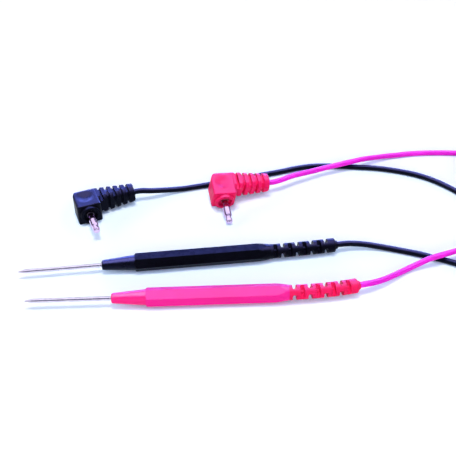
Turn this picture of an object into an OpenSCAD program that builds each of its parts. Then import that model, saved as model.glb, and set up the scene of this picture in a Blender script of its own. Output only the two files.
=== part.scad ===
// A pair of multimeter test leads, one black and one red.
// Each lead is a needle probe with a hexagonal handle, a round PVC cord and a
// right-angle 4 mm plug. Both lie on one flat surface, which is z = 0.
// The black probe lies along X with its needle towards -X, and the origin is
// the middle of the handle flat that it rests on.

/* [Needle] */
// Diameter of the needle
needle_d = 2.0; // [1.2:0.1:2.6]
// Length of needle that shows in front of the nose cone
needle_out = 38.5; // [15:0.5:50]
// Length of the needle's ground point
needle_point = 3.2; // [1:0.1:6]
// Diameter of the point's blunt end
needle_tip_d = 0.5; // [0.2:0.1:0.8]
// Diameter of the needle inside the nose and the handle
needle_root_d = 2.4; // [2.2:0.1:2.8]

/* [Nose cone] */
// Length of the nose cone
nose_len = 15.5; // [8:0.5:25]
// Diameter of the nose cone at its front
nose_front_d = 4.8; // [4:0.1:6]
// Diameter of the nose cone where it meets the handle
nose_rear_d = 7.3; // [6.2:0.1:7.6]
// Diameter of the spigot that enters the handle
nose_spigot_d = 4.6; // [4.2:0.1:5]
// Length of the spigot
nose_spigot_len = 6; // [3:0.5:10]

/* [Handle] */
// Length of the hexagonal handle
handle_len = 64; // [52:1:90]
// Width of the handle across two flats
handle_af = 7.7; // [7.4:0.1:10]
// Length of the round taper at the cord end
handle_taper = 6; // [2:0.5:10]
// Diameter of the handle's main bore
handle_bore_d = 4.0; // [3.4:0.1:4.2]

/* [Boot] */
// Length of the slotted boot, without its lip
boot_len = 31.5; // [28:0.5:40]
// Diameter of the boot's front ring, at the handle
boot_front_d = 7.0; // [6.9:0.1:7.6]
// Diameter of the boot behind that ring
boot_d = 6.8; // [6.2:0.1:6.9]
// Number of slot stations, each turned a quarter from the last
slot_count = 8; // [2:1:8]
// Distance between neighbouring slot stations
slot_pitch = 3.5; // [3:0.1:3.5]
// Width of a slot
slot_w = 1.9; // [1:0.1:2.2]
// Distance of a slot's floor from the axis
slot_floor = 1.3; // [1.1:0.1:2]
// Distance of the first slot from the handle
slot_first = 2.4; // [2:0.1:4]
// Length of the lip that grips the cord
boot_lip_len = 1.2; // [0.5:0.1:2]
// Diameter of the lip
boot_lip_d = 4.4; // [3.8:0.1:5]
// Length of the spigot that enters the handle
boot_spigot_len = 6; // [3:0.5:10]
// Diameter of that spigot
boot_spigot_d = 5.2; // [4.6:0.1:5.6]

/* [Cord] */
// Diameter of the cord over its jacket
cord_d = 2.9; // [2.4:0.1:2.9]
// Diameter of the stranded copper core
core_d = 1.2; // [0.6:0.1:1.6]
// Length of bare core at each end of the cord
core_out = 14; // [8:0.5:20]

/* [Plug head] */
// Length of the plug head along the cord
head_len = 12.2; // [11:0.1:15]
// Depth of the plug head, from the pin face to the back
head_depth = 14.2; // [13.4:0.1:16]
// Thickness of the plug head
head_thick = 11.2; // [11:0.1:14]
// Radius of the back corner away from the cord
head_back_r = 5.2; // [1.5:0.1:6]
// Radius of the two long edges at the back
head_back_edge_r = 2.6; // [0.5:0.1:4]
// Radius of the head's other corners
head_edge_r = 1.2; // [0.4:0.1:1.5]
// Diameter of the round finger dimple on each side
dimple_d = 10; // [4:0.1:10]
// Depth of the dimple
dimple_depth = 1.1; // [0.3:0.1:1.2]
// Outer diameter of the collar round the pin
collar_d = 10; // [8:0.1:10.8]
// Inner diameter of the collar
collar_bore_d = 7; // [5.4:0.1:7.6]
// Height of the collar over the pin face
collar_h = 1.6; // [0.5:0.1:2]

/* [Plug strain relief] */
// Diameter of the relief's rounded corners at the head
relief_front_d = 12.8; // [11:0.1:13]
// Diameter of the relief's rounded corners at the cord
relief_rear_d = 9.3; // [9:0.1:11]
// Thickness of the relief between its top and bottom flats at the head
relief_front_t = 11; // [10:0.1:11]
// The same at the cord
relief_rear_t = 9; // [8.4:0.1:10]
// Width of the relief between its front and back flats at the head
relief_front_w = 10; // [9:0.1:11]
// The same at the cord
relief_rear_w = 8.6; // [8.4:0.1:10]
// Distance of the relief's axis from the back of the head
relief_back = 5; // [4.8:0.1:6]
// Length of relief between the head and the first groove
relief_first = 0.8; // [0.4:0.1:2]
// Number of grooves
groove_count = 5; // [2:1:6]
// Width of a groove
groove_w = 1.4; // [0.8:0.1:2]
// Width of a rib
rib_w = 2; // [1:0.1:2.5]
// Width of the last rib
last_rib_w = 2.9; // [2:0.1:5]
// Depth of the grooves all round
groove_depth = 1.3; // [0.5:0.1:1.4]
// Depth of the groove next to the head
first_groove_depth = 0.6; // [0.3:0.1:1.4]
// Distance from the axis of the deeper cuts, on two opposite sides of each groove
relief_cut = 3; // [2.4:0.1:3.2]

/* [Plug pin] */
// Length of the pin from the pin face
pin_len = 14; // [12:0.5:20]
// Contact diameter of the spring, the socket's nominal size
pin_d = 4.0; // [3.8:0.1:4.2]
// Diameter of the stem inside the spring
stem_d = 2.2; // [1.8:0.1:2.4]
// Diameter of the stem's round head
stem_head_d = 3.6; // [2.8:0.1:3.6]
// Length of the stem's round head
stem_head_len = 1.9; // [1.5:0.1:3]
// Diameter of the stem's shoulder in the collar
shoulder_d = 4.2; // [3.4:0.1:5]
// Height of the shoulder over the pin face
shoulder_h = 1.2; // [0.5:0.1:2]
// Wall thickness of the spring
spring_wall = 0.35; // [0.25:0.05:0.4]
// Number of slots that part the spring into leaves
leaf_slots = 4; // [3:1:4]
// Width of those slots
leaf_slot_w = 0.6; // [0.3:0.1:0.6]

/* [Coil ties] */
// Width of the strap round each coil
tie_w = 5; // [2.5:0.5:8]
// Thickness of the strap
tie_t = 0.6; // [0.4:0.1:1]

/* [Hidden] */
$fn = 48;
eps = 0.01;

// Clearances
fit = 0.02;            // assembled pieces of one body, per side
cord_fit = 0.05;       // cord in its straight bores, per side
bent_fit = 0.15;       // and in the boot's bent one
spring_play = 0.05;    // spring on its stem, per side and at each end

// Probe, along its own axis from the middle of the handle
handle_ac = handle_af / cos(30);
handle_front = -handle_len / 2;
handle_rear = handle_len / 2;
nose_tip = handle_front - nose_len;
needle_tip = nose_tip - needle_out;
nose_spigot_end = handle_front + nose_spigot_len;
needle_flange_len = 1.5;
needle_flange_d = handle_bore_d - 2 * fit;
needle_end = nose_spigot_end + 10;
needle_step = 0.1;     // the needle's thin part ends this far inside the nose
nose_edge_r = 0.8;
handle_edge = 0.5;
sleeve_wall = 0.5;
sleeve_len = 12;
sleeve_grip = 4;
sleeve_start = needle_end - sleeve_grip;
core_start = needle_end + fit;
jacket_start = core_start + core_out;
core_grip = 4;
boot_bore_d = cord_d + 2 * bent_fit;
slot_turn = 45;        // the first slot stands at 45 degrees to the handle's flats
boot_ring_len = 1;
boot_edge = 0.4;
boot_exit = boot_len + boot_lip_len;
// The cords pull the soft boots round towards +Y, by this angle at the boot's end.
boot_bend = [3.5, 11.2];
function bend_r(lead) = boot_exit / boot_bend[lead] * 180 / PI;
function bend_angle(lead, s) = boot_bend[lead] * s / boot_exit;
bend_step = 0.01;      // the radii of straight and bent lengths differ by this
bend_lap = 0.2;        // and they run into each other by this

// Plug, from the centre of the pin face: X along the cord, pin towards -Y
relief_pitch = groove_w + rib_w;
relief_len = relief_first + groove_count * relief_pitch - rib_w + last_rib_w;
relief_y = head_depth - relief_back;
relief_start = head_len / 2;
relief_end = relief_start + relief_len;
flange_d = shoulder_d + 1;
flange_h = 1.2;
flange_in = 1;         // plastic between the flange and the pin face
dimple_pos = [-0.4, 7.6];
shank_d = 2.8;
shank_end = relief_y + 1.4;
lug_d = 4.8;           // ring of the lug, round the shank
lug_h = 1.6;
lug_barrel_d = core_d + 1.4;
lug_end = 4.6;
plug_core_start = shank_d / 2 + 0.5;
plug_jacket_start = lug_end + 2;
spring_start = shoulder_h + spring_play;
spring_end = pin_len - stem_head_len - spring_play;
spring_cuff = 1.4;
spring_in_r = stem_d / 2 + spring_play;
spring_cuff_r = spring_in_r + spring_wall;
spring_rise = 0.4;     // share of the bare length in which the bulge rises
spring_fall = 0.15;    // and in which it falls again, near the head of the stem
stem_flat_d = 1.6;     // flat on the stem's round head
stem_dome_r = (stem_head_d - stem_flat_d) / 2;

// Where the two leads lie: 0 is the black lead, 1 is the red one
black = 0;
red = 1;
plastic = ["#20222c", "#f0287a"];
jacket = ["#181a24", "#e030b8"];
metal = "#d4d2da";
copper = "#c8804a";
probe_pos = [[0, 0, handle_af / 2], [4.1, -26.1, handle_ac / 2]];
probe_yaw = [0, -4.2];
probe_roll = [0, 90];
// The red plug is turned up at its left end and tipped forward, until the head of
// its pin and the lower front of its head or collar both touch the surface.
plug_yaw = [14.3, 6.5];
plug_pitch = [0, 6];
// How far each thing reaches below the plug's origin, with its pin tipped down by t
turned_up = plug_pitch[1];
function down_pin(t) = sin(t) * cos(turned_up);
function down_head(t) = cos(t) * cos(turned_up);
function under_ring(r, t) = r * sqrt(1 - pow(down_pin(t), 2));
function under_pin(t) = (pin_len - stem_dome_r) * down_pin(t) + stem_dome_r
                        + under_ring(stem_flat_d / 2, t);
function under_collar(t) = collar_h * down_pin(t) + under_ring(collar_d / 2, t);
// The lower front corner of the head, where two roundings of different radius meet
function under_corner(t, a) =
    let (e = head_edge_r, left = down_head(t) - a)
    (head_len / 2 - e) * sin(turned_up) + (head_thick / 2 - e) * a
    + e * norm([sin(turned_up), a]) - e / 2 * down_pin(t)
    + (head_thick - e) / 2 * left + e / 2 * norm([down_pin(t), left]);
function under_head(t) = min([for (i = [0:40]) under_corner(t, down_head(t) * i / 40)]);
function under_front(t) = max(under_collar(t), under_head(t));
function tip_between(low, high, steps) =
    let (t = (low + high) / 2)
    steps == 0 ? t : under_pin(t) > under_front(t) ? tip_between(low, t, steps - 1)
                                                   : tip_between(t, high, steps - 1);
pin_tip = tip_between(0, 40, 24);
plug_tip = [0, pin_tip];
plug_pos = [[-53, 36, head_thick / 2], [14.7, 39, under_front(pin_tip)]];

// A probe point or a plug point in the frame of the whole part
function turn_z(p, a) = [p.x * cos(a) - p.y * sin(a), p.x * sin(a) + p.y * cos(a), p.z];
function turn_x(p, a) = [p.x, p.y * cos(a) - p.z * sin(a), p.y * sin(a) + p.z * cos(a)];
function turn_y(p, a) = [p.x * cos(a) + p.z * sin(a), p.y, p.z * cos(a) - p.x * sin(a)];
function on_boot_axis(lead, s) =
    let (r = bend_r(lead), a = bend_angle(lead, s))
    probe_pos[lead]
    + turn_z([handle_rear + r * sin(a), r * (1 - cos(a)), 0], probe_yaw[lead]);
function turn_plug(lead, p) =
    turn_z(turn_y(turn_x(p, plug_tip[lead]), plug_pitch[lead]), plug_yaw[lead]);
function on_plug(lead, p) = plug_pos[lead] + turn_plug(lead, p);

// Coils: round, in two layers, wound anticlockwise from the probe to the plug
coil_gap = 0.45;                       // between neighbouring turns
coil_pitch = cord_d + coil_gap;
coil_mid_r = 5.7 * cord_d;             // at the middle of the turns
coil_rings = 24;                       // per turn
coil_sides = 6;
coil_z = tie_t + 0.1 + cord_d / 2;     // centre of the lower layer, over the strap
coil_pos = [[147, -31], [166, 45]];
coil_start = [180, -40];               // where each coil begins, as an angle
coil_turns = [5 + 190 / 360, 6 + 120 / 360];
coil_first_layer = [0, 1];             // black starts on the lower layer, red on the upper
tie_angle = [270, 0];
tie_fit = 0.1;
tie_r = 1.8;
tie_head = [4, 4.6, 3.2];

function coil_out_r(lead) = coil_mid_r + coil_pitch * coil_turns[lead] / 4;
function coil_in_r(lead) = coil_mid_r - coil_pitch * coil_turns[lead] / 4;
function coil_r(lead, t) = coil_out_r(lead) - coil_pitch * min(t, coil_turns[lead] - t);
// The cord climbs a layer in the half turn where the spiral reverses.
function coil_climb(lead, t) = min(max(2 * t - coil_turns[lead] + 0.5, 0), 1);
function coil_layer(lead, t) = abs(coil_first_layer[lead] - coil_climb(lead, t));
function coil_turn_point(lead, t) =
    let (a = coil_start[lead] + 360 * t, r = coil_r(lead, t))
    [coil_pos[lead].x + r * cos(a), coil_pos[lead].y + r * sin(a),
     coil_z + coil_pitch * coil_layer(lead, t)];
function unit(v) = v / norm(v);
// Each end of a coil runs straight for one cord diameter.
coil_step = 1 / coil_rings;
function coil_in_way(lead) =
    unit(coil_turn_point(lead, coil_step) - coil_turn_point(lead, 0));
function coil_out_way(lead) =
    let (n = coil_turns[lead])
    unit(coil_turn_point(lead, n) - coil_turn_point(lead, n - coil_step));
function coil_entry(lead) = coil_turn_point(lead, 0) - cord_d * coil_in_way(lead);
function coil_leave(lead) =
    coil_turn_point(lead, coil_turns[lead]) + cord_d * coil_out_way(lead);
function coil_path(lead) =
    let (n = ceil(coil_turns[lead] * coil_rings))
    concat([coil_entry(lead)],
           [for (i = [0:n]) coil_turn_point(lead, coil_turns[lead] * i / n)],
           [coil_leave(lead)]);

// Free cord, probe to coil: points that lie between the boot and the coil
cord_z = cord_d / 2;
probe_route = [
    [[71.5, 1.5, 3.4], [77.5, 1, 2.8], [83.5, -0.2, 2.1], [89.5, -2, 1.6],
     [96, -4.6, cord_z], [102.7, -7.5, cord_z], [109.4, -11, cord_z],
     [115.5, -14.2, cord_z], [120.5, -17.8, 1.6], [124.2, -22.4, 1.8]],
    [[75, -26.5, 4], [81, -24.3, 3.2], [87.3, -21, 2.3], [93.7, -17.7, 1.8],
     [100, -15.5, 2.6], [106, -14.2, 4.2], [112.5, -13, 4.9], [120.3, -10.8, 4.7],
     [127, -8.4, 4], [133.5, -4.8, 3.4], [140, -0.8, 3.4], [146.5, 3.4, 4.1],
     [152.5, 7.4, 4.9], [159, 11.6, 5.1], [165.8, 16, 5.3], [172.6, 20.8, 5.4]]];
// Free cord, coil to plug
plug_route = [
    [[165.2, -14.5, 4.9], [162.6, -7.5, 3.3], [159.4, -0.5, 2], [155.5, 6.8, 1.5],
     [151, 14.2, cord_z], [146.5, 21.6, cord_z], [141.9, 29.4, cord_z],
     [137, 36.8, cord_z], [131.8, 43.3, cord_z], [126, 49, cord_z],
     [119.5, 53.6, cord_z], [112.6, 57.1, cord_z], [105.3, 60, cord_z],
     [97.6, 62.3, cord_z], [89.5, 64, cord_z], [81.5, 65.7, cord_z],
     [73.5, 67, cord_z], [65.5, 67.5, cord_z], [57.5, 66.7, cord_z],
     [49.5, 65, cord_z], [41.5, 63.6, cord_z], [33.5, 62.2, cord_z],
     [25.5, 60.9, cord_z], [17.5, 59.5, cord_z], [9.5, 58.2, cord_z],
     [1.5, 57, cord_z], [-6.5, 55.8, 1.7], [-14.5, 54.1, 3], [-22, 52.4, 4.6]],
    [[157, 68.7, 1.7], [150, 69.8, cord_z], [143.5, 70.9, cord_z], [136.5, 71.8, cord_z],
     [129.5, 72.4, cord_z], [122, 72.6, cord_z], [114.5, 72, 1.6], [107, 70.9, 2.2],
     [100, 69, 3.2], [93, 66.5, 4.5], [86, 64.4, 4.9], [79.3, 63.2, 4.5],
     [72.5, 61.8, 4.2], [65.8, 59.7, 4.4], [59, 57.3, 5], [52.3, 54.8, 5.6],
     [46.4, 52.3, 5.6]]];

function probe_end(lead) = on_boot_axis(lead, boot_exit);
function probe_way(lead) = turn_z([1, 0, 0], probe_yaw[lead] + boot_bend[lead]);
function plug_end(lead) = on_plug(lead, [relief_end, relief_y, 0]);
function plug_way(lead) = turn_plug(lead, [1, 0, 0]);
function probe_path(lead) =
    concat([probe_end(lead), probe_end(lead) + cord_d * probe_way(lead)],
           probe_route[lead],
           [coil_entry(lead) - cord_d * coil_in_way(lead), coil_entry(lead)]);
function plug_path(lead) =
    concat([coil_leave(lead), coil_leave(lead) + cord_d * coil_out_way(lead)],
           plug_route[lead],
           [plug_end(lead) + cord_d * plug_way(lead), plug_end(lead)]);

// Least gap between parts of a coil that are at least half a turn apart
function self_gap(path, apart) =
    min([for (i = [0:len(path) - apart - 1]) for (j = [i + apart:len(path) - 1])
         norm(path[i] - path[j])]) - cord_d;
function path_len(path, i = 1) =
    i >= len(path) ? 0 : norm(path[i] - path[i - 1]) + path_len(path, i + 1);
for (lead = [black, red]) {
    echo(coil_least_gap = self_gap(coil_path(lead), coil_rings / 2));
    echo(cord_length = path_len(probe_path(lead)) + path_len(coil_path(lead))
                       + path_len(plug_path(lead)));
}

// Placing

module at_probe(lead) {
    translate(probe_pos[lead]) rotate([probe_roll[lead], 0, probe_yaw[lead]])
        rotate([0, 90, 0]) children();
}

// The bent axis of the boot, with the same directions as at_probe
module at_boot(lead, s) {
    translate(on_boot_axis(lead, s))
        rotate([0, 0, probe_yaw[lead] + bend_angle(lead, s)])
            rotate([probe_roll[lead], 0, 0]) rotate([0, 90, 0]) children();
}

module at_plug(lead) {
    translate(plug_pos[lead])
        rotate([plug_tip[lead], plug_pitch[lead], plug_yaw[lead]]) children();
}

// From the pin face outwards along the pin
module along_pin() {
    rotate([90, 0, 0]) children();
}

// From the head along the cord, on the relief's axis
module along_relief() {
    translate([0, relief_y, 0]) rotate([0, 90, 0]) children();
}

module rod(d, from, to) {
    translate([0, 0, from]) cylinder(d = d, h = to - from);
}

// A round bar along the boot's bent axis
module bent_rod(lead, d, from, to) {
    r = bend_r(lead);
    translate(on_boot_axis(lead, 0)) rotate([0, 0, probe_yaw[lead]])
        translate([0, r, 0]) rotate([0, 0, bend_angle(lead, from) - 90])
            rotate_extrude(angle = bend_angle(lead, to - from))
                translate([r, 0]) circle(d = d);
}

// Probe pieces, each on the probe's axis

module needle(lead) {
    color(metal) at_probe(lead) {
        rotate_extrude() polygon([
            [0, needle_tip], [needle_tip_d / 2, needle_tip],
            [needle_d / 2, needle_tip + needle_point],
            [needle_d / 2, nose_tip + needle_step],
            [needle_root_d / 2, nose_tip + needle_step + (needle_root_d - needle_d) / 2],
            [needle_root_d / 2, nose_spigot_end],
            [needle_flange_d / 2, nose_spigot_end],
            [needle_flange_d / 2, nose_spigot_end + needle_flange_len],
            [needle_root_d / 2, nose_spigot_end + needle_flange_len],
            [needle_root_d / 2, needle_end], [0, needle_end]]);
    }
}

// Half outline of the nose cone, with a rounded front edge
module nose_outline() {
    slope = atan((nose_rear_d - nose_front_d) / 2 / nose_len);
    cx = nose_front_d / 2 - nose_edge_r;
    polygon(concat(
        [[0, nose_tip]],
        [for (a = [0:15:90 - slope]) [cx + nose_edge_r * sin(a),
                                      nose_tip + nose_edge_r * (1 - cos(a))]],
        [[nose_rear_d / 2, handle_front], [0, handle_front]]));
}

module nose_cone(lead) {
    color(plastic[lead]) at_probe(lead) difference() {
        union() {
            rotate_extrude() nose_outline();
            rod(nose_spigot_d, handle_front - eps, nose_spigot_end);
        }
        rod(needle_root_d + 2 * fit, nose_tip + needle_step, nose_spigot_end + 1);
        rod(needle_d + 2 * fit, nose_tip - 1, nose_tip + needle_step + eps);
    }
}

// Round envelope that takes the hexagon's corners down at both ends
module handle_outline() {
    r = handle_ac / 2;
    polygon([
        [0, handle_front], [r - handle_edge, handle_front],
        [r + eps, handle_front + handle_edge],
        [r + eps, handle_rear - handle_taper],
        [boot_front_d / 2 + 0.25 * (r - boot_front_d / 2), handle_rear - 1],
        [boot_front_d / 2, handle_rear], [0, handle_rear]]);
}

module handle(lead) {
    color(plastic[lead]) at_probe(lead) difference() {
        intersection() {
            translate([0, 0, handle_front]) rotate([0, 0, 30])
                cylinder(d = handle_ac, h = handle_len, $fn = 6);
            rotate_extrude() handle_outline();
        }
        rod(nose_spigot_d + 2 * fit, handle_front - 1, nose_spigot_end);
        rod(handle_bore_d, nose_spigot_end - eps, handle_rear);
        rod(boot_spigot_d + 2 * fit, handle_rear - boot_spigot_len, handle_rear + 1);
    }
}

// One slot with a round floor, open on the side towards +X
module slot() {
    reach = boot_front_d;
    r = slot_w / 2;
    rotate([90, 0, 0]) linear_extrude(height = 2 * reach, center = true) {
        translate([slot_floor + r, 0]) circle(r);
        translate([slot_floor + r, -r]) square([reach, slot_w]);
    }
}

// Bent and straight lengths run into each other and differ a little in diameter.
module boot(lead) {
    r = boot_d / 2;
    color(plastic[lead]) difference() {
        union() {
            at_probe(lead) {
                rod(boot_spigot_d, handle_rear - boot_spigot_len + fit, handle_rear + eps);
                rod(boot_front_d, handle_rear, handle_rear + boot_ring_len);
            }
            bent_rod(lead, boot_d, boot_ring_len / 2, boot_len - boot_edge);
            at_boot(lead, boot_len) rotate_extrude() polygon([
                [0, -1], [r - bend_step, -1], [r - bend_step, -boot_edge],
                [r - boot_edge, 0], [boot_lip_d / 2, 0],
                [boot_lip_d / 2 - 0.2, boot_lip_len], [0, boot_lip_len]]);
        }
        at_probe(lead) rod(boot_bore_d + 2 * bend_step,
                           handle_rear - boot_spigot_len - 1, handle_rear + bend_lap);
        bent_rod(lead, boot_bore_d, 0, boot_exit + 1);
        for (i = [0:slot_count - 1], side = [0, 180])
            at_boot(lead, slot_first + i * slot_pitch)
                rotate([0, 0, slot_turn + 90 * i + side]) slot();
    }
}

// Crimped over the needle's tail at one end and over the core at the other
module solder_sleeve(lead) {
    color(copper) at_probe(lead) difference() {
        rod(needle_root_d + 2 * sleeve_wall, sleeve_start, sleeve_start + sleeve_len);
        rod(needle_root_d + 2 * fit, sleeve_start - 1, needle_end + fit);
        rod(core_d + 2 * fit, needle_end, sleeve_start + sleeve_len + 1);
    }
}

module core_wire(lead) {
    color(copper) at_probe(lead) rod(core_d, core_start, jacket_start + core_grip - fit);
}

// The end of the cord, inside the handle and the boot
module cord_tail(lead) {
    color(jacket[lead]) difference() {
        union() {
            at_probe(lead) rod(cord_d, jacket_start, handle_rear + bend_lap);
            bent_rod(lead, cord_d - 2 * bend_step, 0, boot_exit);
        }
        at_probe(lead) rod(core_d + 2 * fit, jacket_start - 1, jacket_start + core_grip);
    }
}

// Plug pieces

// Takes a square corner at the origin, towards +X and +Y, down to a radius
module corner_cut(r) {
    difference() {
        translate([-1, -1]) square(r + 1);
        translate([r, r]) circle(r);
    }
}

// Rectangle from -w/2 to w/2 and from 0 to h, with a radius for each corner,
// in the order front left, front right, back right, back left
module soft_rect(w, h, r) {
    difference() {
        translate([-w / 2, 0]) square([w, h]);
        translate([-w / 2, 0]) corner_cut(r[0]);
        translate([w / 2, 0]) mirror([1, 0]) corner_cut(r[1]);
        translate([w / 2, h]) rotate(180) corner_cut(r[2]);
        translate([-w / 2, h]) mirror([0, 1]) corner_cut(r[3]);
    }
}

module head_block() {
    e = head_edge_r;
    back_e = head_back_edge_r;
    half = head_thick / 2;
    intersection() {
        translate([0, 0, -half]) linear_extrude(height = head_thick)
            soft_rect(head_len, head_depth, [e, e, e, head_back_r]);
        translate([0, head_depth + 1, -half]) rotate([90, 0, 0])
            linear_extrude(height = head_depth + 2)
                soft_rect(head_len, head_thick, [e, e, e, e]);
        translate([-head_len, head_depth / 2, -half]) rotate([90, 0, 90])
            linear_extrude(height = 2 * head_len)
                soft_rect(head_depth, head_thick, [e / 2, back_e, back_e, e / 2]);
    }
}

// Half outline of the relief, with a groove at every pitch
module relief_outline() {
    slope = (relief_front_d - relief_rear_d) / 2 / relief_len;
    function r(x) = relief_front_d / 2 - slope * (x - relief_start);
    first = relief_start + relief_first;
    e = 0.25;
    groove = function(x, depth) [
        [r(x), x - e], [r(x) - e, x], [r(x) - depth, x],
        [r(x + groove_w) - depth, x + groove_w],
        [r(x + groove_w) - e, x + groove_w], [r(x + groove_w), x + groove_w + e]];
    depths = [for (i = [0:groove_count - 1]) i == 0 ? first_groove_depth : groove_depth];
    polygon(concat(
        [[0, relief_start - head_edge_r], [r(relief_start), relief_start - head_edge_r]],
        [for (i = [0:groove_count - 1]) each groove(first + i * relief_pitch, depths[i])],
        [[relief_rear_d / 2, relief_end - e], [relief_rear_d / 2 - e, relief_end],
         [0, relief_end]]));
}

// A block that takes two opposite sides of the relief down to tapering flats
module relief_flats(front, rear) {
    rotate([90, 0, 0]) linear_extrude(height = 2 * relief_front_d, center = true)
        polygon([[-front / 2, relief_start - head_edge_r - 1],
                 [front / 2, relief_start - head_edge_r - 1],
                 [rear / 2, relief_end + 1], [-rear / 2, relief_end + 1]]);
}

// The grooves are cut deeper on two sides, by turns top and bottom, front and back.
module relief() {
    reach = relief_front_d;
    difference() {
        intersection() {
            rotate_extrude() relief_outline();
            relief_flats(relief_front_t, relief_rear_t);
            rotate([0, 0, 90]) relief_flats(relief_front_w, relief_rear_w);
        }
        for (i = [0:groove_count - 1], side = [0, 180])
            translate([0, 0, relief_start + relief_first + i * relief_pitch])
                rotate([0, 0, 90 * i + side])
                    translate([relief_cut, -reach / 2, 0]) cube([reach, reach, groove_w]);
    }
}

// Half outline of the dimple, which runs out level at its rim
module dimple_outline() {
    steps = 10;
    polygon(concat(
        [for (i = [0:steps]) [dimple_d / 2 * i / steps,
                              eps - dimple_depth * (1 + cos(180 * i / steps)) / 2]],
        [[dimple_d / 2, 1], [0, 1]]));
}

module dimples() {
    for (side = [0, 1])
        mirror([0, 0, side]) translate([dimple_pos.x, dimple_pos.y, head_thick / 2])
            rotate_extrude() dimple_outline();
}

// The hollow that the metal parts and the cord fill
module plug_hollow() {
    along_pin() {
        rod(shank_d + 2 * fit, -shank_end - fit, 1);
        rod(flange_d + 2 * fit, -flange_in - flange_h - fit, -flange_in + fit);
        rod(shoulder_d + 2 * fit, -flange_in, 1);
        rod(lug_d + 2 * fit, -relief_y - lug_h / 2 - fit, -relief_y + lug_h / 2 + fit);
    }
    along_relief() {
        rod(lug_barrel_d + 2 * fit, 0, lug_end + fit);
        rod(core_d + 2 * fit, 0, plug_jacket_start + 1);
        rod(cord_d + 2 * cord_fit, plug_jacket_start - fit, relief_end + 1);
    }
}

module plug_housing(lead) {
    color(plastic[lead]) at_plug(lead) difference() {
        union() {
            head_block();
            along_pin() difference() {
                rod(collar_d, -1, collar_h);
                rod(collar_bore_d, 0, collar_h + 1);
            }
            along_relief() relief();
        }
        dimples();
        plug_hollow();
    }
}

module plug_stem(lead) {
    head_from = pin_len - stem_head_len;
    dome = stem_dome_r;
    color(metal) at_plug(lead) along_pin() rotate_extrude() polygon(concat(
        [[0, -shank_end], [shank_d / 2, -shank_end],
         [shank_d / 2, -flange_in - flange_h], [flange_d / 2, -flange_in - flange_h],
         [flange_d / 2, -flange_in], [shoulder_d / 2, -flange_in],
         [shoulder_d / 2, shoulder_h - 0.3], [shoulder_d / 2 - 0.3, shoulder_h],
         [stem_d / 2, shoulder_h], [stem_d / 2, head_from], [stem_head_d / 2, head_from]],
        [for (a = [0:15:90]) [stem_flat_d / 2 + dome * cos(a),
                              pin_len - dome + dome * sin(a)]],
        [[0, pin_len]]));
}

// Half outline of the spring's bulging wall, over the stem
module spring_outline() {
    a = spring_start + spring_cuff;
    b = spring_end - spring_cuff;
    rise = (b - a) * spring_rise;
    fall = (b - a) * spring_fall;
    swell = pin_d / 2 - spring_cuff_r;
    steps = 6;
    function wave(i) = swell * (1 - cos(180 * i / steps)) / 2;
    bow = concat([for (i = [0:steps]) [wave(i), a + rise * i / steps]],
                 [for (i = [steps:-1:0]) [wave(i), b - fall * i / steps]]);
    last = len(bow) - 1;
    polygon(concat(
        [[spring_in_r, spring_start], [spring_cuff_r, spring_start]],
        [for (p = bow) [spring_cuff_r + p.x, p.y]],
        [[spring_cuff_r, spring_end], [spring_in_r, spring_end]],
        [for (i = [last:-1:0]) [spring_in_r + bow[i].x, bow[i].y]]));
}

module plug_spring(lead) {
    color(metal) at_plug(lead) along_pin() difference() {
        rotate_extrude() spring_outline();
        for (i = [0:leaf_slots - 1]) rotate([0, 0, 360 * (i + 0.5) / leaf_slots])
            translate([0, -leaf_slot_w / 2, spring_start + spring_cuff])
                cube([pin_d, leaf_slot_w, spring_end - spring_start - 2 * spring_cuff]);
    }
}

// Ring round the stem's inner end, with a barrel crimped over the core
module plug_lug(lead) {
    color(metal) at_plug(lead) difference() {
        union() {
            along_pin() rod(lug_d, -relief_y - lug_h / 2, -relief_y + lug_h / 2);
            along_relief() rod(lug_barrel_d, 0, lug_end);
        }
        along_pin() rod(shank_d + 2 * fit, -shank_end - 1, 0);
        along_relief() rod(core_d + 2 * fit, 0, lug_end + 1);
    }
}

module plug_wire(lead) {
    color(copper) at_plug(lead) along_relief()
        rod(core_d, plug_core_start, plug_jacket_start + core_grip - fit);
}

module plug_cord_tail(lead) {
    color(jacket[lead]) at_plug(lead) along_relief() difference() {
        rod(cord_d, plug_jacket_start, relief_end);
        rod(core_d + 2 * fit, plug_jacket_start - 1, plug_jacket_start + core_grip);
    }
}

// Cord

// One closed tube of triangles swept along a path, square to its ends
module tube(path, sides) {
    n = len(path);
    way = [for (i = [0:n - 1]) unit(path[min(i + 1, n - 1)] - path[max(i - 1, 0)])];
    side = [for (w = way) unit(cross([0, 0, 1], w))];
    points = [for (i = [0:n - 1]) for (k = [0:sides - 1])
        let (a = 360 * (k + 0.5) / sides, up = cross(way[i], side[i]))
        path[i] + cord_d / 2 * (cos(a) * side[i] + sin(a) * up)];
    skin = [for (i = [0:n - 2]) for (k = [0:sides - 1]) for (half = [0, 1])
        let (a = i * sides + k, b = i * sides + (k + 1) % sides)
        half == 0 ? [a, a + sides, b] : [b, a + sides, b + sides]];
    start = [for (k = [1:sides - 2]) [0, k, k + 1]];
    stop = [for (k = [1:sides - 2])
        let (o = (n - 1) * sides) [o, o + k + 1, o + k]];
    polyhedron(points, concat(skin, start, stop));
}

module cord_probe_run(lead) {
    color(jacket[lead]) tube(probe_path(lead), 8);
}

module cord_coil(lead) {
    color(jacket[lead]) tube(coil_path(lead), coil_sides);
}

module cord_plug_run(lead) {
    color(jacket[lead]) tube(plug_path(lead), 8);
}

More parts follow.
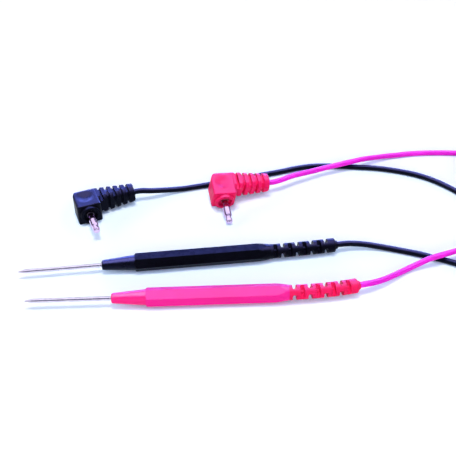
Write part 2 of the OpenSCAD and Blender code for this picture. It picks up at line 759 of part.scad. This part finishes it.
// A flat strap pulled tight round the coil, with its locking head outside
module coil_tie(lead) {
    inner = sqrt(pow(coil_in_r(lead) - cord_d / 2, 2) - pow(tie_w / 2, 2)) - tie_fit;
    outer = coil_out_r(lead) + cord_d / 2 + tie_fit;
    width = outer - inner;
    height = cord_d + coil_pitch + 2 * tie_fit;
    r = [tie_r, tie_r, tie_r, tie_r];
    thick = [tie_t, tie_t, tie_t, tie_t];
    color("#f4f4f4") translate([coil_pos[lead].x, coil_pos[lead].y, 0])
        rotate([0, 0, tie_angle[lead]]) {
            translate([(inner + outer) / 2, tie_w / 2, 0]) rotate([90, 0, 0])
                linear_extrude(height = tie_w) difference() {
                    soft_rect(width + 2 * tie_t, height + 2 * tie_t, r);
                    translate([0, tie_t]) soft_rect(width, height, r - thick);
                }
            translate([outer + tie_t - eps, -tie_head.y / 2, 1.2]) cube(tie_head);
        }
}

needle(black);  // black_needle
nose_cone(black);  // black_nose_cone
handle(black);  // black_handle
boot(black);  // black_boot
solder_sleeve(black);  // black_solder_sleeve
core_wire(black);  // black_core_wire
cord_tail(black);  // black_cord_tail
cord_probe_run(black);  // black_cord_probe_run
cord_coil(black);  // black_cord_coil
cord_plug_run(black);  // black_cord_plug_run
coil_tie(black);  // black_coil_tie
plug_housing(black);  // black_plug_housing
plug_stem(black);  // black_plug_stem
plug_spring(black);  // black_plug_spring
plug_lug(black);  // black_plug_lug
plug_wire(black);  // black_plug_wire
plug_cord_tail(black);  // black_plug_cord_tail
needle(red);  // red_needle
nose_cone(red);  // red_nose_cone
handle(red);  // red_handle
boot(red);  // red_boot
solder_sleeve(red);  // red_solder_sleeve
core_wire(red);  // red_core_wire
cord_tail(red);  // red_cord_tail
cord_probe_run(red);  // red_cord_probe_run
cord_coil(red);  // red_cord_coil
cord_plug_run(red);  // red_cord_plug_run
coil_tie(red);  // red_coil_tie
plug_housing(red);  // red_plug_housing
plug_stem(red);  // red_plug_stem
plug_spring(red);  // red_plug_spring
plug_lug(red);  // red_plug_lug
plug_wire(red);  // red_plug_wire
plug_cord_tail(red);  // red_plug_cord_tail
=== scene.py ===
import math

import bpy
from mathutils import Euler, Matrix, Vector


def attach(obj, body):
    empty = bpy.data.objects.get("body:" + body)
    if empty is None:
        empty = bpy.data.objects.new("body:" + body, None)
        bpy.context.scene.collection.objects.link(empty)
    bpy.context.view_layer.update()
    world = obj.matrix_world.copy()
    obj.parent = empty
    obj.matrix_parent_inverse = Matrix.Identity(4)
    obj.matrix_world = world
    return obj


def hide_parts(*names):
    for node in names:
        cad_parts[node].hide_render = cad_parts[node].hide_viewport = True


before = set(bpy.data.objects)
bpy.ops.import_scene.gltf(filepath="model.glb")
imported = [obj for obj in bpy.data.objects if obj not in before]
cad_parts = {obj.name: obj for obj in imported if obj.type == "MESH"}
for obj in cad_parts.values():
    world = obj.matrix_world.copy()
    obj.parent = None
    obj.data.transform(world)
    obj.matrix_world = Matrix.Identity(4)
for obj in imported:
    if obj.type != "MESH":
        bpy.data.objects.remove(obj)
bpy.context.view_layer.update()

MM = 0.001
LEADS = ("black", "red")  # a pair of values below is for the black lead and the red one

# Camera, in millimetres and degrees
CAMERA_PLACE = (-21.1, -275.7, 262.3)
CAMERA_YAW = 6.82  # from +Y towards +X
CAMERA_DOWN = 41.02
CAMERA_FOCAL = 800  # in pixels of a picture IMAGE_SIZE wide
IMAGE_SIZE = 456
SENSOR_WIDTH = 36
NEAREST = 10  # the camera sees nothing nearer than this

# Where the probes and plugs lie and the cords leave them, in millimetres and
# degrees, as in the construction
CORD_D = 2.9
HANDLE_REAR = 32  # from the middle of the handle, which is the probe's origin
BOOT_EXIT = 32.7  # from the handle's rear to the boot's, along the bent axis
BOOT_BEND = (3.5, 11.2)
PROBE_PLACE = ((0, 0, 3.85), (4.1, -26.1, 4.446))
PROBE_YAW = (0, -4.2)
PLUG_PLACE = ((-53, 36, 5.6), (14.7, 39, 5.6972))
PLUG_YAW = (14.3, 6.5)
PLUG_PITCH = (0, 6)
PLUG_TIP = (0, 17.7185)
RELIEF_END = 24.8  # from the centre of the pin face, which is the plug's origin
RELIEF_Y = 9.2
SHOULDER_H = 1.2  # of the stem's shoulder over the pin face

# Coils, in millimetres and degrees
COIL_GAP = 0.45  # between neighbouring turns
COIL_PITCH = CORD_D + COIL_GAP
COIL_MID_R = 5.7 * CORD_D
STRAP_UNDER = 0.7  # the strap below a coil, with a little play
COIL_Z = STRAP_UNDER + CORD_D / 2
COIL_PLACE = ((147, -31), (166, 45))
COIL_START = (180, -40)
COIL_TURNS = (5 + 190 / 360, 6 + 120 / 360)
COIL_FIRST_LAYER = (0, 1)
COIL_CLIMB = 0.5  # turns over which the cord changes layer
COIL_POINTS = 24  # per turn

# Free cords, in millimetres: from the boot to the coil, then from it to the plug
CORD_Z = CORD_D / 2
PROBE_ROUTE = (
    ((71.5, 1.5, 3.4), (77.5, 1, 2.8), (83.5, -0.2, 2.1), (89.5, -2, 1.6),
     (96, -4.6, CORD_Z), (102.7, -7.5, CORD_Z), (109.4, -11, CORD_Z),
     (115.5, -14.2, CORD_Z), (120.5, -17.8, 1.6), (124.2, -22.4, 1.8)),
    ((75, -26.5, 4), (81, -24.3, 3.2), (87.3, -21, 2.3), (93.7, -17.7, 1.8),
     (100, -15.5, 2.6), (106, -14.2, 4.2), (112.5, -13, 4.9), (120.3, -10.8, 4.7),
     (127, -8.4, 4), (133.5, -4.8, 3.4), (140, -0.8, 3.4), (146.5, 3.4, 4.1),
     (152.5, 7.4, 4.9), (159, 11.6, 5.1), (165.8, 16, 5.3), (172.6, 20.8, 5.4)))
PLUG_ROUTE = (
    ((165.2, -14.5, 4.9), (162.6, -7.5, 3.3), (159.4, -0.5, 2), (155.5, 6.8, 1.5),
     (151, 14.2, CORD_Z), (146.5, 21.6, CORD_Z), (141.9, 29.4, CORD_Z),
     (137, 36.8, CORD_Z), (131.8, 43.3, CORD_Z), (126, 49, CORD_Z),
     (119.5, 53.6, CORD_Z), (112.6, 57.1, CORD_Z), (105.3, 60, CORD_Z),
     (97.6, 62.3, CORD_Z), (89.5, 64, CORD_Z), (81.5, 65.7, CORD_Z),
     (73.5, 67, CORD_Z), (65.5, 67.5, CORD_Z), (57.5, 66.7, CORD_Z),
     (49.5, 65, CORD_Z), (41.5, 63.6, CORD_Z), (33.5, 62.2, CORD_Z),
     (25.5, 60.9, CORD_Z), (17.5, 59.5, CORD_Z), (9.5, 58.2, CORD_Z),
     (1.5, 57, CORD_Z), (-6.5, 55.8, 1.7), (-14.5, 54.1, 3), (-22, 52.4, 4.6)),
    ((157, 68.7, 1.7), (150, 69.8, CORD_Z), (143.5, 70.9, CORD_Z), (136.5, 71.8, CORD_Z),
     (129.5, 72.4, CORD_Z), (122, 72.6, CORD_Z), (114.5, 72, 1.6), (107, 70.9, 2.2),
     (100, 69, 3.2), (93, 66.5, 4.5), (86, 64.4, 4.9), (79.3, 63.2, 4.5),
     (72.5, 61.8, 4.2), (65.8, 59.7, 4.4), (59, 57.3, 5), (52.3, 54.8, 5.6),
     (46.4, 52.3, 5.6)))


# ---------------------------------------------------------------- camera

def make_camera():
    yaw, down = math.radians(CAMERA_YAW), math.radians(CAMERA_DOWN)
    forward = Vector((math.sin(yaw) * math.cos(down),
                      math.cos(yaw) * math.cos(down), -math.sin(down)))
    data = bpy.data.cameras.new("camera")
    data.sensor_width = SENSOR_WIDTH
    data.lens = SENSOR_WIDTH * CAMERA_FOCAL / IMAGE_SIZE
    data.clip_start = NEAREST * MM
    camera = bpy.data.objects.new("camera", data)
    camera.location = Vector(CAMERA_PLACE) * MM
    camera.rotation_mode = "QUATERNION"
    camera.rotation_quaternion = forward.to_track_quat("-Z", "Y")
    bpy.context.collection.objects.link(camera)
    bpy.context.scene.camera = camera


# ---------------------------------------------------------------- cords

def turned(x, y, degrees):
    a = math.radians(degrees)
    return x * math.cos(a) - y * math.sin(a), x * math.sin(a) + y * math.cos(a)


def probe_end(lead):
    """Where the cord leaves the boot, and the way it goes there."""
    bend = math.radians(BOOT_BEND[lead])
    r = BOOT_EXIT / bend
    x, y = turned(HANDLE_REAR + r * math.sin(bend), r * (1 - math.cos(bend)),
                  PROBE_YAW[lead])
    way = turned(1, 0, PROBE_YAW[lead] + BOOT_BEND[lead])
    return Vector((x, y, 0)) + Vector(PROBE_PLACE[lead]), Vector((*way, 0))


def turned_with_plug(lead, way):
    """A direction in the plug's own frame, as the plug lies."""
    turned_way = Vector(way)
    turned_way.rotate(Euler(map(math.radians,
                                (PLUG_TIP[lead], PLUG_PITCH[lead], PLUG_YAW[lead]))))
    return turned_way


def plug_end(lead):
    """Where the cord enters the plug, and the way out of it."""
    return (Vector(PLUG_PLACE[lead]) + turned_with_plug(lead, (RELIEF_END, RELIEF_Y, 0)),
            turned_with_plug(lead, (1, 0, 0)))


def coil_point(lead, t):
    """A spiral that runs in, changes layer and runs out again, with t in turns."""
    turns = COIL_TURNS[lead]
    outer = COIL_MID_R + COIL_PITCH * turns / 4
    r = outer - COIL_PITCH * min(t, turns - t)
    climb = min(max((t - turns / 2) / COIL_CLIMB + 0.5, 0), 1)
    layer = abs(COIL_FIRST_LAYER[lead] - climb)
    a = math.radians(COIL_START[lead] + 360 * t)
    x, y = COIL_PLACE[lead]
    return Vector((x + r * math.cos(a), y + r * math.sin(a), COIL_Z + COIL_PITCH * layer))


def coil_points(lead):
    """A whole coil, with two points straight ahead of each end."""
    count = math.ceil(COIL_TURNS[lead] * COIL_POINTS)
    points = [coil_point(lead, COIL_TURNS[lead] * i / count) for i in range(count + 1)]
    way_in = (points[1] - points[0]).normalized()
    way_out = (points[-1] - points[-2]).normalized()
    lead_in = [points[0] - k * CORD_D * way_in for k in (2, 1)]
    lead_out = [points[-1] + k * CORD_D * way_out for k in (1, 2)]
    return lead_in + points + lead_out


def cord_points(lead):
    start, start_way = probe_end(lead)
    end, end_way = plug_end(lead)
    return ([start, start + CORD_D * start_way]
            + [Vector(p) for p in PROBE_ROUTE[lead]]
            + coil_points(lead)
            + [Vector(p) for p in PLUG_ROUTE[lead]]
            + [end + CORD_D * end_way, end])


def make_cord(lead):
    name = LEADS[lead]
    points = [p * MM for p in cord_points(lead)]
    curve = bpy.data.curves.new(name + "_cord", "CURVE")
    curve.dimensions = "3D"
    curve.bevel_depth = 1  # so a point's radius is the cord's
    curve.bevel_resolution = 6
    curve.resolution_u = 4
    curve.use_fill_caps = True
    spline = curve.splines.new("BEZIER")
    spline.bezier_points.add(len(points) - 1)
    for bezier, point in zip(spline.bezier_points, points):
        bezier.co = point
        bezier.radius = CORD_D / 2 * MM
        bezier.handle_left_type = bezier.handle_right_type = "AUTO"
    cord = bpy.data.objects.new(name + "_cord", curve)
    bpy.context.collection.objects.link(cord)
    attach(cord, name + "_lead")
    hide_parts(*(f"{name}_cord_{part}" for part in ("probe_run", "coil", "plug_run")))
    return cord


# ---------------------------------------------------------------- materials

NOISE_RANGE = (0.35, 0.65)  # where noise values mostly are


class Nodes:
    """A short way to add and join shader nodes of one material."""

    def __init__(self, name):
        self.material = bpy.data.materials.new(name)
        self.material.use_nodes = True
        self.tree = self.material.node_tree
        self.shader = self.tree.nodes["Principled BSDF"]
        self.place = self.add("ShaderNodeTexCoord").outputs["Object"]

    def add(self, kind, **settings):
        node = self.tree.nodes.new(kind)
        for key, value in settings.items():
            setattr(node, key, value)
        return node

    def join(self, source, target):
        self.tree.links.new(source, target)

    def turned_place(self, angle, stretch):
        """Coordinates turned about Z to lie along a piece, then stretched."""
        turn = self.add("ShaderNodeMapping", vector_type="POINT")
        turn.inputs["Rotation"].default_value[2] = math.radians(angle)
        turn.inputs["Scale"].default_value = stretch
        self.join(self.place, turn.inputs["Vector"])
        return turn.outputs["Vector"]

    def noise(self, scale, detail, place=None):
        """Noise with that many features per metre."""
        node = self.add("ShaderNodeTexNoise")
        node.inputs["Scale"].default_value = scale
        node.inputs["Detail"].default_value = detail
        self.join(place or self.place, node.inputs["Vector"])
        return node.outputs["Fac"]

    def spread(self, value, low, high, source=NOISE_RANGE):
        """Carries the source range over to low and high, and clips there."""
        node = self.add("ShaderNodeMapRange")
        node.inputs["From Min"].default_value, node.inputs["From Max"].default_value = source
        node.inputs["To Min"].default_value = low
        node.inputs["To Max"].default_value = high
        self.join(value, node.inputs["Value"])
        return node.outputs["Result"]

    def mix(self, factor, a, b):
        """Between two colours; the second may also come from a node."""
        node = self.add("ShaderNodeMix", data_type="RGBA")
        self.join(factor, node.inputs["Factor"])
        node.inputs["A"].default_value = (*a, 1)
        if isinstance(b, tuple):
            node.inputs["B"].default_value = (*b, 1)
        else:
            self.join(b, node.inputs["B"])
        return node.outputs["Result"]

    def ramp(self, value, stops):
        """A colour that runs through stops, each a position and a colour."""
        node = self.add("ShaderNodeValToRGB")
        elements = node.color_ramp.elements
        for position, _ in stops[1:-1]:
            elements.new(position)
        for element, (position, colour) in zip(elements, stops):
            element.position = position
            element.color = (*colour, 1)
        self.join(value, node.inputs["Fac"])
        return node.outputs["Color"]

    def along(self, start, way):
        """Distance from a point along a direction."""
        offset = self.add("ShaderNodeVectorMath", operation="SUBTRACT")
        offset.inputs[1].default_value = start
        self.join(self.place, offset.inputs[0])
        dot = self.add("ShaderNodeVectorMath", operation="DOT_PRODUCT")
        dot.inputs[1].default_value = way
        self.join(offset.outputs["Vector"], dot.inputs[0])
        return dot.outputs["Value"]

    def seen_by(self, *rays):
        """One for these kinds of ray, else zero."""
        path = self.add("ShaderNodeLightPath")
        seen = path.outputs[rays[0]]
        for kind in rays[1:]:
            either = self.add("ShaderNodeMath", operation="MAXIMUM")
            self.join(seen, either.inputs[0])
            self.join(path.outputs[kind], either.inputs[1])
            seen = either.outputs["Value"]
        return seen

    def bump(self, height, distance, strength, normal=None):
        node = self.add("ShaderNodeBump")
        node.inputs["Strength"].default_value = strength
        node.inputs["Distance"].default_value = distance
        self.join(height, node.inputs["Height"])
        if normal:
            self.join(normal, node.inputs["Normal"])
        return node.outputs["Normal"]

    def soft_edges(self, radius):
        """The normal of a surface whose edges are rounded."""
        node = self.add("ShaderNodeBevel", samples=6)
        node.inputs["Radius"].default_value = radius
        return node.outputs["Normal"]

    def set(self, **values):
        """Constants on the shader's own sockets, with _ for a space in a socket's name."""
        for key, value in values.items():
            self.shader.inputs[key.replace("_", " ")].default_value = value


def moulded(name, colours, roughness, grain, edge, tint, specular):
    """Moulded plastic or rubber: fine grain, slow colour change, softened edges."""
    n = Nodes(name)
    clouds, satin = n.noise(90, 3), n.noise(260, 4)
    grit, ripple = n.noise(5200, 2), n.noise(320, 2)
    n.join(n.mix(n.spread(clouds, 0, 1), *colours), n.shader.inputs["Base Color"])
    n.join(n.spread(satin, *roughness), n.shader.inputs["Roughness"])
    fine = n.bump(grit, grain, 0.35, n.soft_edges(edge))
    n.join(n.bump(ripple, grain * 5, 0.25, fine), n.shader.inputs["Normal"])
    n.set(Specular_IOR_Level=specular, Specular_Tint=(*tint, 1))
    return n.material


def jacket(name, colours, tint, specular):
    """Extruded PVC: glossy, with faint waviness and specks of dust."""
    n = Nodes(name)
    clouds, dust, waves = n.noise(140, 3), n.noise(700, 3), n.noise(900, 3)
    n.join(n.mix(n.spread(clouds, 0, 1), *colours), n.shader.inputs["Base Color"])
    n.join(n.spread(dust, 0.26, 0.4), n.shader.inputs["Roughness"])
    n.join(n.bump(waves, 0.00006, 0.35), n.shader.inputs["Normal"])
    n.set(Specular_IOR_Level=specular, Specular_Tint=(*tint, 1))
    return n.material


def plated(name, angle, colours, roughness, darker=None):
    """Bright nickel: faint turning marks across the piece, slight tarnish.

    The optional last argument is a colour, a point, a direction and a range of distances
    along it: the metal has that colour, as painted shade, before the range and is bright
    after it.
    """
    n = Nodes(name)
    rings = n.noise(9000, 2, n.turned_place(angle, (1, 0.05, 0.05)))
    tarnish = n.noise(420, 4)
    colour = n.mix(n.spread(tarnish, 0, 1), *colours)
    # painted shade: the metal is dark near its housing and turns bright further out
    if darker:
        dark, start, way, distances = darker
        colour = n.mix(n.spread(n.along(start, way), 0, 1, distances), dark, colour)
    n.join(colour, n.shader.inputs["Base Color"])
    n.join(n.spread(rings, *roughness), n.shader.inputs["Roughness"])
    n.join(n.bump(rings, 0.000002, 0.2), n.shader.inputs["Normal"])
    n.set(Metallic=1.0)
    return n.material


def stranded(name, colour, darker):
    """Bare copper strands or solder, as fine lengthwise lines."""
    n = Nodes(name)
    lines = n.noise(9000, 2, n.turned_place(0, (0.04, 1, 1)))
    n.join(n.mix(n.spread(lines, 0, 1), colour, darker), n.shader.inputs["Base Color"])
    n.join(n.bump(lines, 0.00005, 0.6), n.shader.inputs["Normal"])
    n.set(Metallic=1.0, Roughness=0.32)
    return n.material


def nylon(name):
    """Milky, slightly clear nylon of the straps round the coils."""
    n = Nodes(name)
    clouds, grain = n.noise(300, 3), n.noise(2600, 3)
    n.join(n.mix(n.spread(clouds, 0, 1), (0.83, 0.83, 0.8), (0.76, 0.77, 0.75)),
           n.shader.inputs["Base Color"])
    n.join(n.bump(grain, 0.00004, 0.4, n.soft_edges(0.0002)), n.shader.inputs["Normal"])
    n.set(Roughness=0.38, Subsurface_Weight=0.15, Subsurface_Scale=0.001)
    return n.material


# Tints of the gloss
SHEEN = (0.26, 0.38, 1.0)
ROSE = (0.5, 0.85, 1.0)
BLUSH = (0.4, 0.42, 1.0)

BLACK_PLASTIC = ((0.002, 0.002, 0.003), (0.003, 0.003, 0.005))

# Two colours, range of roughness, grain and radius of the edges in metres, tint of
# the gloss and its level
MOULDED = {
    "black_nose": (BLACK_PLASTIC, (0.24, 0.32), 0.00001, 0.0001, SHEEN, 0.2),
    "black_grip": (BLACK_PLASTIC, (0.24, 0.32), 0.00001, 0.0001, SHEEN, 0.06),
    "black_boot": (BLACK_PLASTIC, (0.36, 0.46), 0.00002, 0.00015, SHEEN, 0.07),
    "black_plug": (((0.002, 0.002, 0.003), (0.003, 0.003, 0.006)),
                   (0.36, 0.44), 0.00002, 0.0003, SHEEN, 0.078),
    "red_nose": (((0.94, 0.012, 0.24), (0.9, 0.01, 0.21)),
                 (0.3, 0.4), 0.00001, 0.0001, ROSE, 0.18),
    "red_grip": (((0.94, 0.012, 0.32), (0.9, 0.01, 0.28)),
                 (0.3, 0.4), 0.00001, 0.0001, ROSE, 0.13),
    "red_boot": (((0.88, 0.01, 0.12), (0.84, 0.008, 0.09)),
                 (0.42, 0.56), 0.00002, 0.00015, BLUSH, 0.15),
    "red_plug": (((0.9, 0.01, 0.13), (0.86, 0.008, 0.11)),
                 (0.38, 0.46), 0.00002, 0.0003, BLUSH, 0.11),
}

# Two colours, tint of the gloss and its level
JACKETS = {
    "black_cord": (((0.002, 0.002, 0.004), (0.004, 0.004, 0.007)), SHEEN, 0.12),
    "red_cord": (((0.88, 0.02, 0.72), (0.82, 0.016, 0.64)), BLUSH, 0.15),
}

# Two colours and a range of roughness
NEEDLE_PLATE = (((0.78, 0.72, 0.84), (0.68, 0.6, 0.74)), (0.2, 0.3))
CONTACT_PLATE = (((0.78, 0.6, 0.86), (0.66, 0.49, 0.76)), (0.14, 0.22))

# Painted shade and painted reflection: next to its housing, in the collar's recess, the
# contact's metal is painted dark, the red lead's in the red of the collar
PAINTED_RECESS_SHADE = ((0.06, 0.05, 0.07), (0.3, 0.03, 0.06))
RECESS_SHADE_FADE = 1.4  # length past the shoulder over which it turns bright, in millimetres


def make_materials():
    made = {name: moulded(name, *facts) for name, facts in MOULDED.items()}
    made.update({name: jacket(name, *facts) for name, facts in JACKETS.items()})
    made["copper"] = stranded("copper", (0.8, 0.42, 0.24), (0.62, 0.3, 0.17))
    made["solder_plate"] = stranded("solder_plate", (0.72, 0.7, 0.68), (0.55, 0.54, 0.53))
    made["nylon"] = nylon("nylon")
    # where the painted shade on the contacts gives way to bright metal
    recess_shade_range = (SHOULDER_H * MM, (SHOULDER_H + RECESS_SHADE_FADE) * MM)
    for lead, name in enumerate(LEADS):
        made[name + "_needle"] = plated(name + "_needle", -PROBE_YAW[lead], *NEEDLE_PLATE)
        made[name + "_contact"] = plated(
            name + "_contact", 90 - PLUG_YAW[lead], *CONTACT_PLATE,
            (PAINTED_RECESS_SHADE[lead], Vector(PLUG_PLACE[lead]) * MM,
             turned_with_plug(lead, (0, -1, 0)), recess_shade_range))
    return made


MATERIAL_OF = {
    "needle": "{}_needle", "nose_cone": "{}_nose", "handle": "{}_grip", "boot": "{}_boot",
    "solder_sleeve": "solder_plate", "core_wire": "copper", "cord_tail": "{}_boot",
    "coil_tie": "nylon", "plug_housing": "{}_plug", "plug_stem": "{}_contact",
    "plug_spring": "{}_contact", "plug_lug": "solder_plate", "plug_wire": "copper",
    "plug_cord_tail": "{}_cord",
}


def paint(obj, material):
    obj.data.materials.clear()
    obj.data.materials.append(material)


def paint_nodes(materials):
    for lead in LEADS:
        for part, kind in MATERIAL_OF.items():
            paint(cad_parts[f"{lead}_{part}"], materials[kind.format(lead)])


# ---------------------------------------------------------------- stage and light

FLOOR_HALF = 3  # half of its side, in metres
# What the floor shows without light, a glow with painted shade: colours for how open it lies,
# from 0 right under the object to 1 where nothing stands near, which paint a dark shadow
# under things and a light blue halo around them
FLOOR_GLOW_AND_PAINTED_SHADE = ((0, (0, 0, 0.01)), (0.25, (0.05, 0.08, 0.18)), (0.5, (0.3, 0.42, 0.65)),
              (0.8, (0.25, 0.31, 0.45)), (0.95, (0.25, 0.26, 0.36)), (1, (0.41, 0.36, 0.48)))
PAINTED_SHADE_REACH = 0.03  # how far away a thing still counts, in metres
FLOOR_FADE = (0.35, 0.9)  # distances from the middle, in metres, where it turns plain white

HORIZON = (0.02, 0.35)  # sines of the angles over the horizon where white starts and ends
OVERHEAD = (0.14, 0.17, 0.26)  # the colour above them


def make_floor():
    """White paper with a glow of painted shade: dark where something touches it and light
    blue around that.
    """
    corners = [(x * FLOOR_HALF, y * FLOOR_HALF, 0)
               for x, y in ((-1, -1), (1, -1), (1, 1), (-1, 1))]
    mesh = bpy.data.meshes.new("floor")
    mesh.from_pydata(corners, [], [(0, 1, 2, 3)])
    floor = bpy.data.objects.new("floor", mesh)
    bpy.context.collection.objects.link(floor)
    n = Nodes("floor")
    n.set(Base_Color=(0.74, 0.8, 0.76, 1), Roughness=1, Specular_IOR_Level=0)
    # painted shade: an occlusion test darkens the floor's glow under things and tints it
    # light blue around them
    near = n.add("ShaderNodeAmbientOcclusion", samples=8)
    near.inputs["Distance"].default_value = PAINTED_SHADE_REACH
    glow_and_painted_shade = n.ramp(near.outputs["AO"], FLOOR_GLOW_AND_PAINTED_SHADE)
    away = n.add("ShaderNodeVectorMath", operation="LENGTH")
    n.join(n.place, away.inputs[0])
    n.join(n.mix(n.spread(away.outputs["Value"], 1, 0, FLOOR_FADE), (1, 1, 1), glow_and_painted_shade),
           n.shader.inputs["Emission Color"])
    n.join(n.seen_by("Is Camera Ray", "Is Glossy Ray", "Is Transmission Ray"),
           n.shader.inputs["Emission Strength"])
    mesh.materials.append(n.material)


def make_world():
    """White at the horizon and dimmer overhead, as in a tent of white cloth."""
    world = bpy.data.worlds.new("studio")
    bpy.context.scene.world = world
    world.use_nodes = True
    tree = world.node_tree
    tree.nodes.clear()
    place = tree.nodes.new("ShaderNodeTexCoord")
    parts = tree.nodes.new("ShaderNodeSeparateXYZ")
    height = tree.nodes.new("ShaderNodeMapRange")
    height.inputs["From Min"].default_value, height.inputs["From Max"].default_value = HORIZON
    colour = tree.nodes.new("ShaderNodeMix")
    colour.data_type = "RGBA"
    colour.inputs["A"].default_value = (1, 1, 1, 1)
    colour.inputs["B"].default_value = (*OVERHEAD, 1)
    around = tree.nodes.new("ShaderNodeBackground")
    out = tree.nodes.new("ShaderNodeOutputWorld")
    tree.links.new(place.outputs["Generated"], parts.inputs["Vector"])
    tree.links.new(parts.outputs["Z"], height.inputs["Value"])
    tree.links.new(height.outputs["Result"], colour.inputs["Factor"])
    tree.links.new(colour.outputs["Result"], around.inputs["Color"])
    tree.links.new(around.outputs["Background"], out.inputs["Surface"])


def light_group(name, pieces, state):
    """Pieces that a light reaches (INCLUDE), or that it leaves out (EXCLUDE)."""
    group = bpy.data.collections.new(name)
    for piece in pieces:
        group.objects.link(piece)
    for entry in group.collection_objects:
        entry.light_linking.link_state = state
    return group


def softbox(name, place, target, size, radiance, colour, diffuse=True, glossy=True,
            reaches=None):
    """An area light, in metres. A mirror would show a radiance of 1 as white."""
    data = bpy.data.lights.new(name, "AREA")
    data.shape = "RECTANGLE"
    data.size, data.size_y = size
    data.energy = radiance * math.pi * size[0] * size[1]
    data.color = colour
    light = bpy.data.objects.new(name, data)
    light.location = place
    light.rotation_mode = "QUATERNION"
    light.rotation_quaternion = (Vector(target) - Vector(place)).to_track_quat("-Z", "Y")
    light.visible_camera = False
    light.visible_diffuse = diffuse
    light.visible_glossy = glossy
    light.light_linking.receiver_collection = reaches
    bpy.context.collection.objects.link(light)


CONTACT_METAL = ("plug_stem", "plug_spring")
BARE_METAL = ("needle", *CONTACT_METAL)


def nodes_of(*parts):
    """Those pieces of both leads."""
    return [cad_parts[f"{lead}_{part}"] for lead in LEADS for part in parts]


def make_lights():
    """A lamp and cards. Bare metal has a card of its own, as it would mirror the others."""
    middle = (0.03, 0.01, 0)
    no_metal = light_group("all_but_metal", nodes_of(*BARE_METAL), "EXCLUDE")
    only_metal = light_group("metal", nodes_of(*BARE_METAL), "INCLUDE")
    only_contacts = light_group("contacts", nodes_of(*CONTACT_METAL), "INCLUDE")
    softbox("key", (-0.03, 0.05, 1.1), middle, size=(0.3, 0.3), radiance=25,
            colour=(1.0, 0.98, 0.95), glossy=False)
    softbox("front", (0.1, -1.1, 0.36), middle, size=(1.8, 0.6), radiance=2.5,
            colour=(1.0, 0.97, 0.95), glossy=False)
    softbox("sky", (0, 0.28, 1.3), (0, 0.28, 0), size=(2.4, 1.26), radiance=25,
            colour=(0.92, 0.68, 1.0), diffuse=False, reaches=no_metal)
    softbox("back", (0.15, 1.1, 0.44), (0.15, 0, 0.44), size=(1.7, 0.88), radiance=26,
            colour=(0.18, 0.24, 1.0), diffuse=False, reaches=no_metal)
    softbox("left", (-1.1, 0.1, 0.4), middle, size=(0.9, 0.7), radiance=2,
            colour=(0.9, 0.95, 1.0), reaches=no_metal)
    softbox("metal_card", (0, 0.55, 0.9), (0, 0.55, 0), size=(3, 1.7), radiance=1.15,
            colour=(1.0, 0.98, 1.0), diffuse=False, reaches=only_metal)
    softbox("contact_card", (0.1, -0.9, 0.5), middle, size=(1.8, 0.8), radiance=0.6,
            colour=(0.95, 0.88, 1.0), diffuse=False, reaches=only_contacts)


make_camera()
cords = [make_cord(lead) for lead in range(len(LEADS))]
materials = make_materials()
paint_nodes(materials)
for cord, lead in zip(cords, LEADS):
    cord.data.materials.append(materials[lead + "_cord"])
make_floor()
make_world()
make_lights()
bpy.context.scene.view_settings.view_transform = "Standard"
